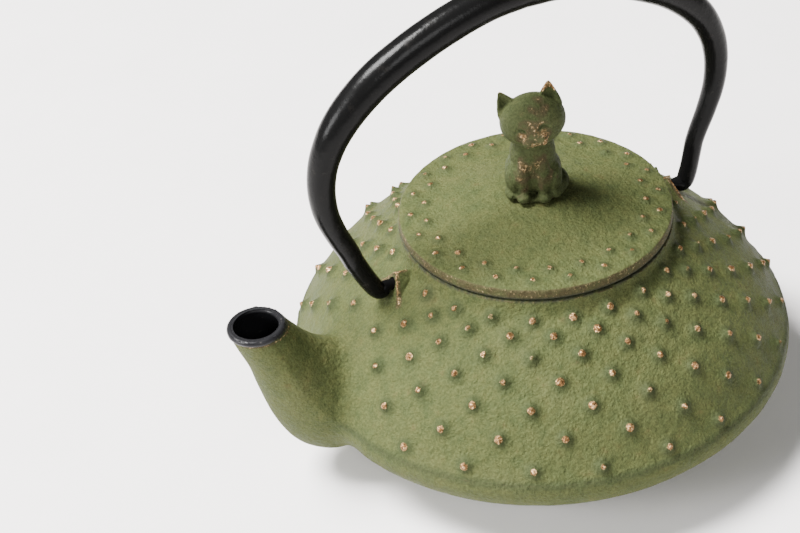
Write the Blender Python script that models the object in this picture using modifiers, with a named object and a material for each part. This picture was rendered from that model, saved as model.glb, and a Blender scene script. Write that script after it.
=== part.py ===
"""Cast iron teapot: hobnail pot, lid with a seated cat as its knob, iron bail and a lift-out strainer.

The origin is the centre of the flat foot, on the pot's axis. +Z is up, the spout points to -X, and
the bail stands in the XZ plane and turns about the X line through its two hooks. Lengths are metres.
"""
import math

import bmesh
import bpy
import numpy as np
from mathutils import Matrix, Vector

MM = 0.001
GAP = 0.3 * MM                     # clearance between two pieces that touch
TURNED_STEPS = 48

# Pot: the dome's outline runs through the middles of the hobnail rows, from the belly up
FOOT_RADIUS = 39.5 * MM
COLLAR_RADIUS = 37.8 * MM
COLLAR_TOP = 60.7 * MM
COLLAR_FOOT = 58.3 * MM
HOBNAIL_ROWS = [(67.6, 29.0), (63.3, 35.9), (58.4, 41.7), (53.1, 46.0), (48.0, 50.2), (43.5, 53.4),
                (39.6, 55.5)]
HOBNAILS_PER_ROW = 24
HOBNAIL_HEIGHT = 1.7 * MM
HOBNAIL_MARGIN = 1.3 * MM          # from the edge of a hobnail's cell to its base
UNDERSIDE = [(71.0, 24.5), (70.4, 20.6), (67.9, 17.0), (64.2, 13.4), (60.2, 10.1), (53.8, 6.2),
             (46.0, 2.3)]
MOUTH_RADIUS = 34.0 * MM
LEDGE_RADIUS = 31.8 * MM
LEDGE_HEIGHT = 55.5 * MM           # the strainer's flange hangs on this ledge
CAVITY = [(31.8, 53.2), (37.0, 52.9), (41.5, 50.6), (51.0, 43.2), (60.6, 33.6), (64.9, 27.4), (67.4, 24.3),
          (66.6, 21.6), (64.6, 18.8), (61.6, 15.9), (57.8, 12.9), (51.8, 9.4), (45.0, 6.2), (38.0, 4.0)]

# Spout: stations of its outside from the root to the mouth, and the round channel through it
SPOUT_SIDES = 24
SPOUT_STATIONS = [                 # upper x, z; lower x, z; half width; sharpness of the side ridge
    (-47.0, 34.0, -56.0, 8.5, 14.0, 0.5),
    (-56.0, 39.5, -68.0, 7.8, 14.8, 0.5),
    (-61.8, 42.0, -77.2, 13.6, 14.2, 0.45),
    (-66.3, 44.8, -82.3, 23.2, 12.4, 0.4),
    (-69.6, 48.0, -85.2, 34.4, 10.5, 0.3),
    (-72.5, 51.9, -87.2, 44.2, 9.0, 0.2),
    (-74.7, 55.1, -89.6, 51.6, 8.1, 0.1),
    (-75.7, 57.2, -91.2, 57.2, 7.75, 0.0)]
CHANNEL_STATIONS = [               # x, z, radius
    (-56.0, 23.0, 9.4), (-64.5, 26.0, 9.5), (-70.6, 31.0, 9.2), (-74.6, 36.2, 8.4), (-77.5, 41.9, 7.2),
    (-79.9, 48.2, 6.3), (-82.2, 53.3, 6.1), (-83.4, 57.3, 6.1), (-83.6, 60.0, 6.1)]

# Lugs: each is a long pyramid cut off by a steep outer face, with a blind socket for a hook of the bail
LUG_PEAK_X = 43.0 * MM
LUG_PEAK = 57.8 * MM
LUG_FACE_LEAN = math.radians(20)
LUG_BASE = 49.0 * MM
LUG_HALF_WIDTH = 9.0 * MM
LUG_LENGTH = 36.0 * MM
LUG_TOP_RADIUS = 0.8 * MM
HINGE_HEIGHT = 54.7 * MM
PIN_RADIUS = 1.5 * MM
SOCKET_END = 41.0 * MM
SOCKET_LENGTH = 6.0 * MM

# Bail: half of its centre line from the tip of a hook to the crown, with the bar's radius. The bar is
# bent by hand: above the hooks the arch stands a little towards the spout, and is thicker on that side.
BAIL_HALF = [                      # x, z, radius
    (41.5, 54.7, 1.5), (44.5, 54.7, 1.5), (46.1, 54.4, 1.95), (47.4, 53.85, 2.3), (48.6, 54.6, 2.5),
    (49.8, 57.2, 2.6), (51.3, 61.6, 2.65), (53.6, 69.3, 2.75), (56.4, 76.4, 2.9), (58.5, 83.5, 3.15),
    (59.1, 90.4, 3.4), (58.3, 97.0, 3.65), (56.3, 102.6, 3.9), (52.9, 108.2, 4.2), (47.3, 114.0, 4.45),
    (39.9, 119.4, 4.6), (30.4, 124.1, 4.65), (20.2, 127.9, 4.7), (9.8, 130.4, 4.75), (0.0, 131.2, 4.75)]
BAIL_LEAN = 1.5 * MM
BAIL_LEAN_HEIGHT = 12 * MM         # above the hinge, where the lean is complete
BAIL_UNEVEN = 0.05
BAIL_HALF_SPAN = 45 * MM           # from the crown to where the unevenness is complete

# Lid: the lower edge sits just above the collar, and a lip below it goes into the mouth
LID_RADIUS = 37.5 * MM
LID_EDGE = 64.0 * MM
LID_DOME = [(28.4, 65.35), (24.0, 66.2), (18.0, 67.5), (12.5, 68.5), (8.0, 69.0)]
LID_TOP = 69.0 * MM
LID_CELL_RINGS = [(36.3, 64.35), (32.2, 64.85), (28.4, 65.35)]
LID_HOBNAILS = 22
LID_TURN = math.radians(-5.1)      # how the lid happens to sit
LID_HOBNAIL_HEIGHT = 1.0 * MM
LID_HOBNAIL_MARGIN = 0.7 * MM
LID_UNDERSIDE = [(28.0, 62.0), (20.0, 64.0), (10.0, 65.8), (7.0, 66.0)]
LIP_RADIUS = 33.0 * MM
LIP_THICKNESS = 2.5 * MM
LIP_BOTTOM = 57.2 * MM

# Knob: a seated cat on a round plinth, 35 mm tall, turned to look past the spout, with its head tilted
KNOB_TURN = math.radians(-27.4)
PLINTH_RADIUS = 6.4 * MM
PLINTH_HEIGHT = 1.2 * MM
CAT_BALLS = {                      # centre x, y, z; radii x, y, z; the cat looks along -Y
    "haunches": (0.0, 1.2, 6.6, 7.7, 6.8, 6.6),
    "chest": (0.0, -0.4, 12.6, 6.2, 5.4, 8.8),
    "neck": (0.0, -0.9, 18.6, 4.9, 4.3, 3.6),
    "left_leg": (-2.7, -4.6, 7.0, 1.9, 1.9, 6.6),
    "right_leg": (2.7, -4.6, 7.0, 1.9, 1.9, 6.6),
    "left_paw": (-2.8, -5.7, 1.6, 2.0, 2.4, 1.5),
    "right_paw": (2.8, -5.7, 1.6, 2.0, 2.4, 1.5),
    "left_foot": (-6.0, -2.6, 1.7, 1.9, 3.4, 1.6),
    "right_foot": (6.0, -2.6, 1.7, 1.9, 3.4, 1.6)}
HEAD_BALLS = {
    "head": (0.3, -1.7, 23.9, 8.9, 7.4, 7.2),
    "muzzle": (0.3, -8.2, 22.0, 3.3, 2.0, 2.1)}
HEAD_TILT = math.radians(-12)
EAR_PLACE = (5.2, -1.0, 27.2)
EAR_RADIUS = 3.3 * MM
EAR_HEIGHT = 6.9 * MM
EAR_LEAN = math.radians(12)
TAIL = [(0.0, 7.0, 3.0), (4.6, 6.8, 2.4), (7.7, 3.6, 2.1), (7.9, -0.6, 2.0), (5.6, -4.6, 1.9)]
TAIL_RADIUS = 1.6 * MM

# Screw and washer that hold the knob from below
SCREW_RADIUS = 1.7 * MM
SCREW_HEAD_RADIUS = 3.4 * MM
SCREW_HEAD_HEIGHT = 2.2 * MM
SCREW_REACH = 6.5 * MM             # into the knob
WASHER_RADIUS = 4.6 * MM
WASHER_THICKNESS = 0.8 * MM
DRIVE_WIDTH = 0.8 * MM
DRIVE_DEPTH = 1.1 * MM

# Strainer: flange and skirt, gauze wall, base ring and gauze floor
STRAINER_STEPS = 36
FLANGE_RADIUS = 33.4 * MM
SHEET = 0.6 * MM
GAUZE = 0.4 * MM
GAUZE_RADIUS = 30.3 * MM
SKIRT_BOTTOM = 50.5 * MM
STRAINER_FLOOR = 9.8 * MM
BASE_RING_HEIGHT = 4.6 * MM
BASE_RING_LIP = 2.6 * MM


# ---------------------------------------------------------------- helpers

def fresh_collections():
    """Empty the file and return the collection for the parts and the one for the cutters."""
    for old in list(bpy.data.objects):
        bpy.data.objects.remove(old, do_unlink=True)
    parts = bpy.data.collections.new("cast_iron_teapot")
    cutters = bpy.data.collections.new("cutters")
    for collection in (parts, cutters):
        bpy.context.scene.collection.children.link(collection)
    return parts, cutters


def material(name, colour, roughness, metallic):
    """A Principled material in one plain colour."""
    made = bpy.data.materials.new(name)
    made.use_nodes = True
    shader = made.node_tree.nodes["Principled BSDF"]
    shader.inputs["Base Color"].default_value = (*colour, 1.0)
    shader.inputs["Roughness"].default_value = roughness
    shader.inputs["Metallic"].default_value = metallic
    return made


def add_mesh(name, mesh, collection):
    """Put a mesh in a new object."""
    made = bpy.data.objects.new(name, mesh)
    collection.objects.link(made)
    if collection is CUTTERS:
        made.hide_render = True
        made.display_type = "WIRE"
    return made


def from_bmesh(name, bm, collection):
    """Put a bmesh in a new object, with its faces pointing out."""
    bmesh.ops.recalc_face_normals(bm, faces=bm.faces)
    mesh = bpy.data.meshes.new(name)
    bm.to_mesh(mesh)
    bm.free()
    return add_mesh(name, mesh, collection)


def applied(source, name, collection):
    """A mesh object with the evaluated shape of another, which is removed."""
    bpy.context.view_layer.update()
    evaluated = source.evaluated_get(bpy.context.evaluated_depsgraph_get())
    mesh = bpy.data.meshes.new_from_object(evaluated)
    mesh.transform(source.matrix_world)
    bm = bmesh.new()
    bm.from_mesh(mesh)
    bmesh.ops.remove_doubles(bm, verts=bm.verts, dist=0.001 * MM)
    bpy.data.objects.remove(source, do_unlink=True)
    return from_bmesh(name, bm, collection)


def scaled(points):
    """Points given in millimetres, in metres."""
    return [tuple(value * MM for value in point) for point in points]


def smooth_run(points, steps):
    """Rows along a Catmull-Rom curve through the given rows, with this many steps to each span."""
    rows = np.array(points, dtype=float)
    padded = np.vstack([2 * rows[0] - rows[1], rows, 2 * rows[-1] - rows[-2]])
    run = []
    for i in range(len(rows) - 1):
        a, b, c, d = padded[i:i + 4]
        for t in np.arange(steps) / steps:
            run.append(0.5 * (2 * b + (c - a) * t + (2 * a - 5 * b + 4 * c - d) * t ** 2
                              + (3 * b - a - 3 * c + d) * t ** 3))
    run.append(rows[-1])
    return np.array(run)


def turned(name, profile, collection, steps=TURNED_STEPS, phase=0.0):
    """Turn a closed profile of (radius, height) pairs, which runs down its outer side, about Z."""
    mesh = bpy.data.meshes.new(name)
    points = [(radius * math.cos(phase), radius * math.sin(phase), height) for radius, height in profile]
    edges = [(i, i + 1) for i in range(len(points) - 1)]
    if profile[0][0] > 0.0:
        edges.append((len(points) - 1, 0))
    mesh.from_pydata(points, edges, [])
    made = add_mesh(name, mesh, collection)
    screw = made.modifiers.new("turn", "SCREW")
    screw.axis = "Z"
    screw.steps = steps
    screw.render_steps = steps
    screw.use_merge_vertices = True
    screw.merge_threshold = 0.001 * MM
    return applied(made, name, collection)


def tube(name, points, radii, collection, sides):
    """A round bar along the points, with its radius at each of them, as a closed mesh."""
    curve = bpy.data.curves.new(name, "CURVE")
    curve.dimensions = "3D"
    curve.bevel_depth = 1.0
    curve.bevel_resolution = sides // 2 - 2
    curve.use_fill_caps = True
    spline = curve.splines.new("POLY")
    spline.points.add(len(points) - 1)
    for spot, point, radius in zip(spline.points, points, radii):
        spot.co = (*point, 1.0)
        spot.radius = radius
    made = bpy.data.objects.new(name, curve)
    collection.objects.link(made)
    return applied(made, name, collection)


def loft(name, rings, collection):
    """A closed skin through rings of points, with a flat face at each end."""
    bm = bmesh.new()
    made = [[bm.verts.new(point) for point in ring] for ring in rings]
    for low, high in zip(made, made[1:]):
        for i in range(len(low)):
            j = (i + 1) % len(low)
            bm.faces.new((low[i], low[j], high[j], high[i]))
    bm.faces.new(made[0])
    bm.faces.new(made[-1])
    return from_bmesh(name, bm, collection)


def ball(name, centre, radii, collection):
    """An ellipsoid."""
    bm = bmesh.new()
    place = Matrix.Translation(centre) @ Matrix.Diagonal((*radii, 1.0))
    bmesh.ops.create_uvsphere(bm, u_segments=16, v_segments=9, radius=1.0, matrix=place)
    return from_bmesh(name, bm, collection)


def cone(name, bottom, radius, top_radius, height, collection, sides=24, turn=Matrix()):
    """An upright cone or cylinder that stands on its bottom point."""
    bm = bmesh.new()
    place = Matrix.Translation(bottom) @ turn @ Matrix.Translation((0.0, 0.0, height / 2))
    bmesh.ops.create_cone(bm, cap_ends=True, segments=sides, radius1=radius, radius2=top_radius,
                          depth=height, matrix=place)
    return from_bmesh(name, bm, collection)


def combine(target, tools, operation):
    """Join solids to the target or cut them from it, one after the other, and keep the result as a mesh."""
    name = target.name
    collection = target.users_collection[0]
    for tool in tools:
        step = target.modifiers.new(tool.name, "BOOLEAN")
        step.solver = "EXACT"
        step.operation = operation
        step.object = tool
        target.name = "uncombined"
        target = applied(target, name, collection)
        bpy.data.objects.remove(tool, do_unlink=True)
    return target


def finish(made, surface, sharp_degrees=30.0):
    """Give a piece its material and its shading."""
    made.data.materials.clear()
    made.data.materials.append(surface)
    made.data.shade_smooth()
    made.data.set_sharp_from_angle(angle=math.radians(sharp_degrees))
    return made


def raise_hobnails(made, is_hobnail, margin, height):
    """Draw a low pyramid out of the middle of each face that holds a hobnail."""
    bm = bmesh.new()
    bm.from_mesh(made.data)
    chosen = [face for face in bm.faces if is_hobnail(face.calc_center_median(), face.normal)]
    bmesh.ops.inset_individual(bm, faces=chosen, thickness=margin, use_even_offset=True)
    bmesh.ops.poke(bm, faces=chosen, offset=height)
    bm.to_mesh(made.data)
    bm.free()
    return len(chosen)


# ---------------------------------------------------------------- pot

def row_edges():
    """The outline between the hobnail rows: the rings that bound their cells, from the top down."""
    outline = [(69.7, 26.2)] + HOBNAIL_ROWS + [(37.9, 57.3)]
    middles = smooth_run(outline, 2)[1::2]
    return [tuple(point * MM) for point in middles[::-1]]


def pot_outline():
    """The outside of the pot, from the middle of its top to the middle of its foot."""
    collar = [(0.0, COLLAR_TOP), (COLLAR_RADIUS - 0.4 * MM, COLLAR_TOP),
              (COLLAR_RADIUS, COLLAR_TOP - 0.4 * MM), (COLLAR_RADIUS, COLLAR_FOOT)]
    return collar + row_edges() + scaled(UNDERSIDE) + [(FOOT_RADIUS, 0.0), (0.0, 0.0)]


def pot_hobnail(centre, normal):
    """Whether a face of the pot's outside holds a hobnail: every second column, by turns, row by row."""
    radius, height = math.hypot(centre.x, centre.y), centre.z
    gaps = [math.hypot(radius - r * MM, height - z * MM) for r, z in HOBNAIL_ROWS]
    row = gaps.index(min(gaps))
    if gaps[row] > 1.5 * MM or normal.z < 0.2:
        return False
    column = round(math.atan2(centre.y, -centre.x) / math.radians(7.5)) % 48
    if (column + row) % 2:
        return False
    from_spout = min(column, 48 - column)
    under_spout = from_spout <= (2, 1, 0)[row] if row < 3 else False
    from_lug = min(from_spout, 24 - from_spout)
    under_lug = row >= 4 and from_lug <= 1
    return not (under_spout or under_lug)


def spout_solid():
    """The outside of the spout: lens-shaped sections with a ridge on each side, round at the mouth."""
    rings = []
    for top_x, top_z, low_x, low_z, half_width, ridge in smooth_run(SPOUT_STATIONS, 2):
        top, low = Vector((top_x, 0.0, top_z)), Vector((low_x, 0.0, low_z))
        middle, rise = (top + low) / 2, (top - low) / 2
        ring = []
        for i in range(SPOUT_SIDES):
            angle = math.tau * i / SPOUT_SIDES
            lift = math.sin(angle) * (1.0 - ridge + ridge * abs(math.sin(angle)))
            ring.append((middle + rise * lift + Vector((0.0, half_width * math.cos(angle), 0.0))) * MM)
        rings.append(ring)
    return loft("spout_solid", rings, CUTTERS)


def channel():
    """The round way through the spout into the pot."""
    run = smooth_run([(x, 0.0, z, r) for x, z, r in CHANNEL_STATIONS], 2) * MM
    return tube("channel", run[:, :3], run[:, 3], CUTTERS, sides=20)


def lug_solid(side):
    """A lug: a long pyramid, cut off on its outer side by a face that leans out towards its foot."""
    bm = bmesh.new()
    height = LUG_PEAK - LUG_BASE
    top = LUG_TOP_RADIUS / LUG_HALF_WIDTH
    bmesh.ops.create_cone(bm, cap_ends=True, segments=4, radius1=1.0, radius2=top, depth=height,
                          matrix=Matrix.Translation((0.0, 0.0, height / 2)))
    bmesh.ops.scale(bm, vec=(LUG_LENGTH, LUG_HALF_WIDTH, 1.0), verts=bm.verts)
    bmesh.ops.translate(bm, vec=(LUG_PEAK_X, 0.0, LUG_BASE), verts=bm.verts)
    whole = bm.verts[:] + bm.edges[:] + bm.faces[:]
    outwards = (math.cos(LUG_FACE_LEAN), 0.0, math.sin(LUG_FACE_LEAN))
    bmesh.ops.bisect_plane(bm, geom=whole, plane_co=(LUG_PEAK_X, 0.0, LUG_PEAK), plane_no=outwards,
                           clear_outer=True)
    bmesh.ops.holes_fill(bm, edges=[edge for edge in bm.edges if edge.is_boundary])
    if side < 0:
        bmesh.ops.rotate(bm, verts=bm.verts, matrix=Matrix.Rotation(math.pi, 3, "Z"))
    return from_bmesh("lug_solid", bm, CUTTERS)


def socket(side):
    """The blind hole in a lug for the end of a hook."""
    turn = Matrix.Rotation(side * math.pi / 2, 4, "Y")
    bottom = (side * SOCKET_END, 0.0, HINGE_HEIGHT)
    return cone("socket", bottom, PIN_RADIUS + GAP, PIN_RADIUS + GAP, SOCKET_LENGTH, CUTTERS, sides=16,
                turn=turn)


def cavity():
    """The inside of the pot, with the ledge for the strainer."""
    top = COLLAR_TOP + 2 * MM
    profile = [(0.0, top), (MOUTH_RADIUS, top), (MOUTH_RADIUS, LEDGE_HEIGHT), (LEDGE_RADIUS, LEDGE_HEIGHT)]
    floor = CAVITY[-1][1] * MM
    return turned("cavity", profile + scaled(CAVITY) + [(0.0, floor)], CUTTERS, steps=36)


def pot_body(surface):
    """The pot: one casting with its spout, its lugs and its hobnails."""
    made = turned("pot_body", pot_outline(), PARTS, phase=math.radians(3.75))
    raise_hobnails(made, pot_hobnail, HOBNAIL_MARGIN, HOBNAIL_HEIGHT)
    made = combine(made, [spout_solid(), lug_solid(1), lug_solid(-1)], "UNION")
    made = combine(made, [cavity(), channel(), socket(1), socket(-1)], "DIFFERENCE")
    return finish(made, surface)


# ---------------------------------------------------------------- bail

def bail_handle(surface):
    """The bail: a bar that is thickest at its crown, with a hook at each end, turning about X."""
    half = smooth_run([(x, 0.0, z, r) for x, z, r in BAIL_HALF], 2)
    other = half[-2::-1] * (-1, 1, 1, 1)
    run = np.vstack([half, other]) * MM
    for point in run:
        rise = min(max((point[2] - HINGE_HEIGHT) / BAIL_LEAN_HEIGHT, 0.0), 1.0)
        point[3] *= 1.0 - BAIL_UNEVEN * rise * min(max(point[0] / BAIL_HALF_SPAN, -1.0), 1.0)
        point[0] -= BAIL_LEAN * rise
    made = tube("bail_handle", run[:, :3], run[:, 3], PARTS, sides=14)
    axis = Vector((0.0, 0.0, HINGE_HEIGHT))
    made.data.transform(Matrix.Translation(-axis))
    made.location = axis
    return finish(made, surface)


# ---------------------------------------------------------------- lid, knob and screw

def lid_hobnail(centre, normal):
    """Whether a face of the lid's top holds a hobnail: two rings, with their hobnails by turns."""
    radius = math.hypot(centre.x, centre.y)
    edges = [r * MM for r, _ in LID_CELL_RINGS]
    if normal.z < 0.5 or not edges[2] < radius < edges[0]:
        return False
    column = round((math.atan2(centre.y, centre.x) - LID_TURN) / (math.pi / LID_HOBNAILS))
    return (column + (radius < edges[1])) % 2 == 0


def lid(surface):
    """The lid: a shallow dome with a locating lip below, and a hole for the screw."""
    seat = COLLAR_TOP + GAP
    hole = SCREW_RADIUS + GAP
    profile = [(hole, LID_TOP)] + scaled(LID_DOME[:0:-1])
    profile += scaled(LID_CELL_RINGS[::-1])
    profile += [(LID_RADIUS - 0.5 * MM, LID_EDGE), (LID_RADIUS, LID_EDGE - 0.5 * MM),
                (LID_RADIUS, seat + 0.7 * MM), (LID_RADIUS - 0.7 * MM, seat), (LIP_RADIUS, seat),
                (LIP_RADIUS, LIP_BOTTOM), (LIP_RADIUS - LIP_THICKNESS, LIP_BOTTOM),
                (LIP_RADIUS - LIP_THICKNESS, seat + 0.4 * MM)]
    profile += scaled(LID_UNDERSIDE) + [(hole, LID_UNDERSIDE[-1][1] * MM)]
    cell = math.pi / LID_HOBNAILS
    made = turned("lid", profile, PARTS, steps=2 * LID_HOBNAILS, phase=cell / 2 + LID_TURN)
    raise_hobnails(made, lid_hobnail, LID_HOBNAIL_MARGIN, LID_HOBNAIL_HEIGHT)
    return finish(made, surface)


def balls(rows):
    """One ellipsoid for each row of a table of forms."""
    return [ball(name, Vector(row[:3]) * MM, Vector(row[3:]) * MM, CUTTERS) for name, row in rows.items()]


def ear(side):
    """One pointed ear, leaning outwards."""
    place = Vector((HEAD_BALLS["head"][0] + side * EAR_PLACE[0], EAR_PLACE[1], EAR_PLACE[2])) * MM
    turn = Matrix.Rotation(side * EAR_LEAN, 4, "Y")
    return cone("ear", place, EAR_RADIUS, 0.4 * MM, EAR_HEIGHT, CUTTERS, sides=8, turn=turn)


def knob_figure(surface):
    """The knob: a cat that sits on a plinth, bored from below for its screw."""
    under = 1 * MM                     # made this much too deep, then cut off level
    made = cone("knob_figure", (0.0, 0.0, -under), PLINTH_RADIUS, PLINTH_RADIUS, PLINTH_HEIGHT + under, PARTS)
    body = balls(CAT_BALLS)
    run = smooth_run(TAIL, 3) * MM
    body.append(tube("tail", run, [TAIL_RADIUS] * len(run), CUTTERS, sides=8))
    head = balls(HEAD_BALLS) + [ear(1), ear(-1)]
    centre = Vector(HEAD_BALLS["head"][:3]) * MM
    for form in head:
        form.data.transform(Matrix.Translation(-centre))
        form.data.transform(Matrix.Translation(centre) @ Matrix.Rotation(HEAD_TILT, 4, "Y"))
    made = combine(made, body + head, "UNION")
    below = cone("below", (0.0, 0.0, -8 * MM), 20 * MM, 20 * MM, 8 * MM, CUTTERS, sides=5)
    hole = SCREW_RADIUS + GAP
    bore = cone("bore", (0.0, 0.0, -under), hole, hole, SCREW_REACH + 2 * under, CUTTERS, sides=16)
    made = combine(made, [below, bore], "DIFFERENCE")
    made.data.transform(Matrix.Rotation(KNOB_TURN, 4, "Z"))
    made.location = (0.0, 0.0, LID_TOP + GAP)
    return finish(made, surface, 45.0)


def knob_washer(surface):
    """The washer between the screw's head and the lid."""
    top = LID_UNDERSIDE[-1][1] * MM - GAP
    hole = SCREW_RADIUS + GAP
    profile = [(hole, top), (WASHER_RADIUS, top), (WASHER_RADIUS, top - WASHER_THICKNESS),
               (hole, top - WASHER_THICKNESS)]
    return finish(turned("knob_washer", profile, PARTS, steps=24), surface)


def knob_screw(surface):
    """The pan-head screw, with a straight slot in its head."""
    top = LID_TOP + GAP + SCREW_REACH
    under_head = LID_UNDERSIDE[-1][1] * MM - WASHER_THICKNESS - 2 * GAP
    bottom = under_head - SCREW_HEAD_HEIGHT
    profile = [(0.0, top), (SCREW_RADIUS - 0.4 * MM, top), (SCREW_RADIUS, top - 0.4 * MM),
               (SCREW_RADIUS, under_head), (SCREW_HEAD_RADIUS, under_head),
               (SCREW_HEAD_RADIUS, bottom + 0.8 * MM), (SCREW_HEAD_RADIUS - 0.9 * MM, bottom),
               (0.0, bottom)]
    made = turned("knob_screw", profile, PARTS, steps=24)
    bm = bmesh.new()
    size = Matrix.Diagonal((4 * SCREW_HEAD_RADIUS, DRIVE_WIDTH, 2 * DRIVE_DEPTH, 1.0))
    bmesh.ops.create_cube(bm, size=1.0, matrix=Matrix.Translation((0.0, 0.0, bottom)) @ size)
    made = combine(made, [from_bmesh("slot", bm, CUTTERS)], "DIFFERENCE")
    return finish(made, surface)


# ---------------------------------------------------------------- strainer

def strainer_rim(surface):
    """The flange that hangs on the ledge, and the skirt below it that holds the gauze."""
    low = LEDGE_HEIGHT + GAP
    skirt = GAUZE_RADIUS + GAP
    profile = [(skirt, low + SHEET), (FLANGE_RADIUS, low + SHEET), (FLANGE_RADIUS, low),
               (skirt + SHEET, low), (skirt + SHEET, SKIRT_BOTTOM), (skirt, SKIRT_BOTTOM)]
    return finish(turned("strainer_rim", profile, PARTS, steps=STRAINER_STEPS), surface)


def strainer_wall_mesh(surface):
    """The gauze wall, from the base ring up into the skirt."""
    inner = GAUZE_RADIUS - GAUZE
    top = LEDGE_HEIGHT
    profile = [(inner, top), (GAUZE_RADIUS, top), (GAUZE_RADIUS, STRAINER_FLOOR), (inner, STRAINER_FLOOR)]
    return finish(turned("strainer_wall_mesh", profile, PARTS, steps=STRAINER_STEPS), surface)


def strainer_base_ring(surface):
    """The ring round the foot of the wall, with a lip under the floor."""
    inner = GAUZE_RADIUS + GAP
    lip = STRAINER_FLOOR - GAP
    bottom = lip - SHEET
    top = bottom + BASE_RING_HEIGHT
    profile = [(inner, top), (inner + SHEET, top), (inner + SHEET, bottom), (inner - BASE_RING_LIP, bottom),
               (inner - BASE_RING_LIP, lip), (inner, lip)]
    return finish(turned("strainer_base_ring", profile, PARTS, steps=STRAINER_STEPS), surface)


def strainer_base_mesh(surface):
    """The gauze floor."""
    radius = GAUZE_RADIUS - GAUZE - GAP
    profile = [(0.0, STRAINER_FLOOR + GAUZE), (radius, STRAINER_FLOOR + GAUZE), (radius, STRAINER_FLOOR),
               (0.0, STRAINER_FLOOR)]
    return finish(turned("strainer_base_mesh", profile, PARTS, steps=STRAINER_STEPS), surface)


def build():
    """Make every piece."""
    green_iron = material("green_patina_iron", (0.27, 0.31, 0.13), 0.6, 0.4)
    black_iron = material("black_lacquered_iron", (0.012, 0.012, 0.012), 0.35, 0.6)
    steel = material("stainless_steel", (0.62, 0.62, 0.6), 0.3, 1.0)
    pot_body(green_iron)
    bail_handle(black_iron)
    lid(green_iron)
    knob_figure(green_iron)
    knob_washer(steel)
    knob_screw(steel)
    strainer_rim(steel)
    strainer_wall_mesh(steel)
    strainer_base_ring(steel)
    strainer_base_mesh(steel)


PARTS, CUTTERS = fresh_collections()
build()
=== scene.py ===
# %% [markdown]
# # A cast iron teapot
#
# A small iron teapot: a squat, round pot with rows of hobnails and a rising spout, a lid whose knob is a
# seated cat, a black bail that swings on two lugs, and a steel strainer that hangs in the mouth. The CAD
# model already fixes every size and every joint. This lesson puts a fine visual skin around it.
#
# We start by loading the CAD model as a frame, and note its box, which the skin must not outgrow.

# %% Load the frame
import math

import bmesh
import bpy
import numpy as np
from mathutils import Matrix, Quaternion, Vector, noise


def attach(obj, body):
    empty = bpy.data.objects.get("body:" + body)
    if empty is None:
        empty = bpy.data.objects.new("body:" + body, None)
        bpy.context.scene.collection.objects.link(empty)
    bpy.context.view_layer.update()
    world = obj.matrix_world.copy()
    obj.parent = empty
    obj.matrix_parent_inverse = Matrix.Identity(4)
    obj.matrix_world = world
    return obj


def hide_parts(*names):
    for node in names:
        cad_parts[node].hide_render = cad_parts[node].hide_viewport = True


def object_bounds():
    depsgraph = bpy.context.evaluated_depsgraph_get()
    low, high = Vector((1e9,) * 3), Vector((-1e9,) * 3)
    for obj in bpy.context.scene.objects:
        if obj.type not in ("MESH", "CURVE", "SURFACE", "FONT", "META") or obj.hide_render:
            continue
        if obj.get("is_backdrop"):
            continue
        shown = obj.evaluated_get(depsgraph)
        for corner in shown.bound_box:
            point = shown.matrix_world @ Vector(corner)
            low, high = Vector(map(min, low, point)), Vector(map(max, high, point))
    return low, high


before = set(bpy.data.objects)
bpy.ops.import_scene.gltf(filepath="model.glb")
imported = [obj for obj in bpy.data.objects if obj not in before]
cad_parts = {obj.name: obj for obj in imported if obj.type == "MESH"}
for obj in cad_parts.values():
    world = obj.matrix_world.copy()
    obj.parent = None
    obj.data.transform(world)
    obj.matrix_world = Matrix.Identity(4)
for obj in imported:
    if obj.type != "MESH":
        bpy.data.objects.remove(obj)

MM = 0.001
cad_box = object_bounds()
print("CAD pieces:", ", ".join(sorted(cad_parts)))

# %% [markdown]
# ## The view
#
# The camera looks down on the pot from the front left. It is turned a few degrees about its own line of
# sight, because the pot stands at a slight tilt in the frame. A camera in Blender looks along its own -Z,
# so we aim that axis first and then add the roll.

# %% The camera
CAMERA_PLACE = Vector((-0.17332, -0.33140, 0.33597))
CAMERA_AIM = Vector((-0.0382, 0.0078, 0.0529))
CAMERA_ROLL = math.radians(-5.74)

LENS = 75.6                        # millimetres


def new_object(name, data):
    """Put an object with this data into the scene."""
    made = bpy.data.objects.new(name, data)
    bpy.context.scene.collection.objects.link(made)
    return made


camera = new_object("camera", bpy.data.cameras.new("camera"))
bpy.context.scene.camera = camera
camera.data.lens = LENS
camera.data.clip_start = 0.01
camera.location = CAMERA_PLACE
camera.rotation_mode = "QUATERNION"
aimed = (CAMERA_AIM - CAMERA_PLACE).to_track_quat("-Z", "Y")
camera.rotation_quaternion = aimed @ Quaternion((0.0, 0.0, 1.0), CAMERA_ROLL)
print("camera is", round(CAMERA_PLACE.length, 3), "m from the foot of the pot")

# %% [markdown]
# ## Node helpers
#
# Every finish here is made of shader nodes, so the same few kinds of node come back again and again: a
# noise, a ramp, a mix. These helpers add one node each and return its output, which keeps the recipes of
# the finishes short enough to read.

# %% Helpers that add shader nodes
def add_node(surface, kind, inputs, **settings):
    """Add a node, set its settings, and fill its inputs with values or with the outputs of others."""
    made = surface.node_tree.nodes.new(kind)
    for name, value in settings.items():
        setattr(made, name, value)
    for key, value in inputs.items():
        if isinstance(value, bpy.types.NodeSocket):
            surface.node_tree.links.new(value, made.inputs[key])
        else:
            made.inputs[key].default_value = value
    return made


def place_in(surface):
    """The position on the piece itself, in metres."""
    return add_node(surface, "ShaderNodeTexCoord", {}).outputs["Object"]


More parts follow.
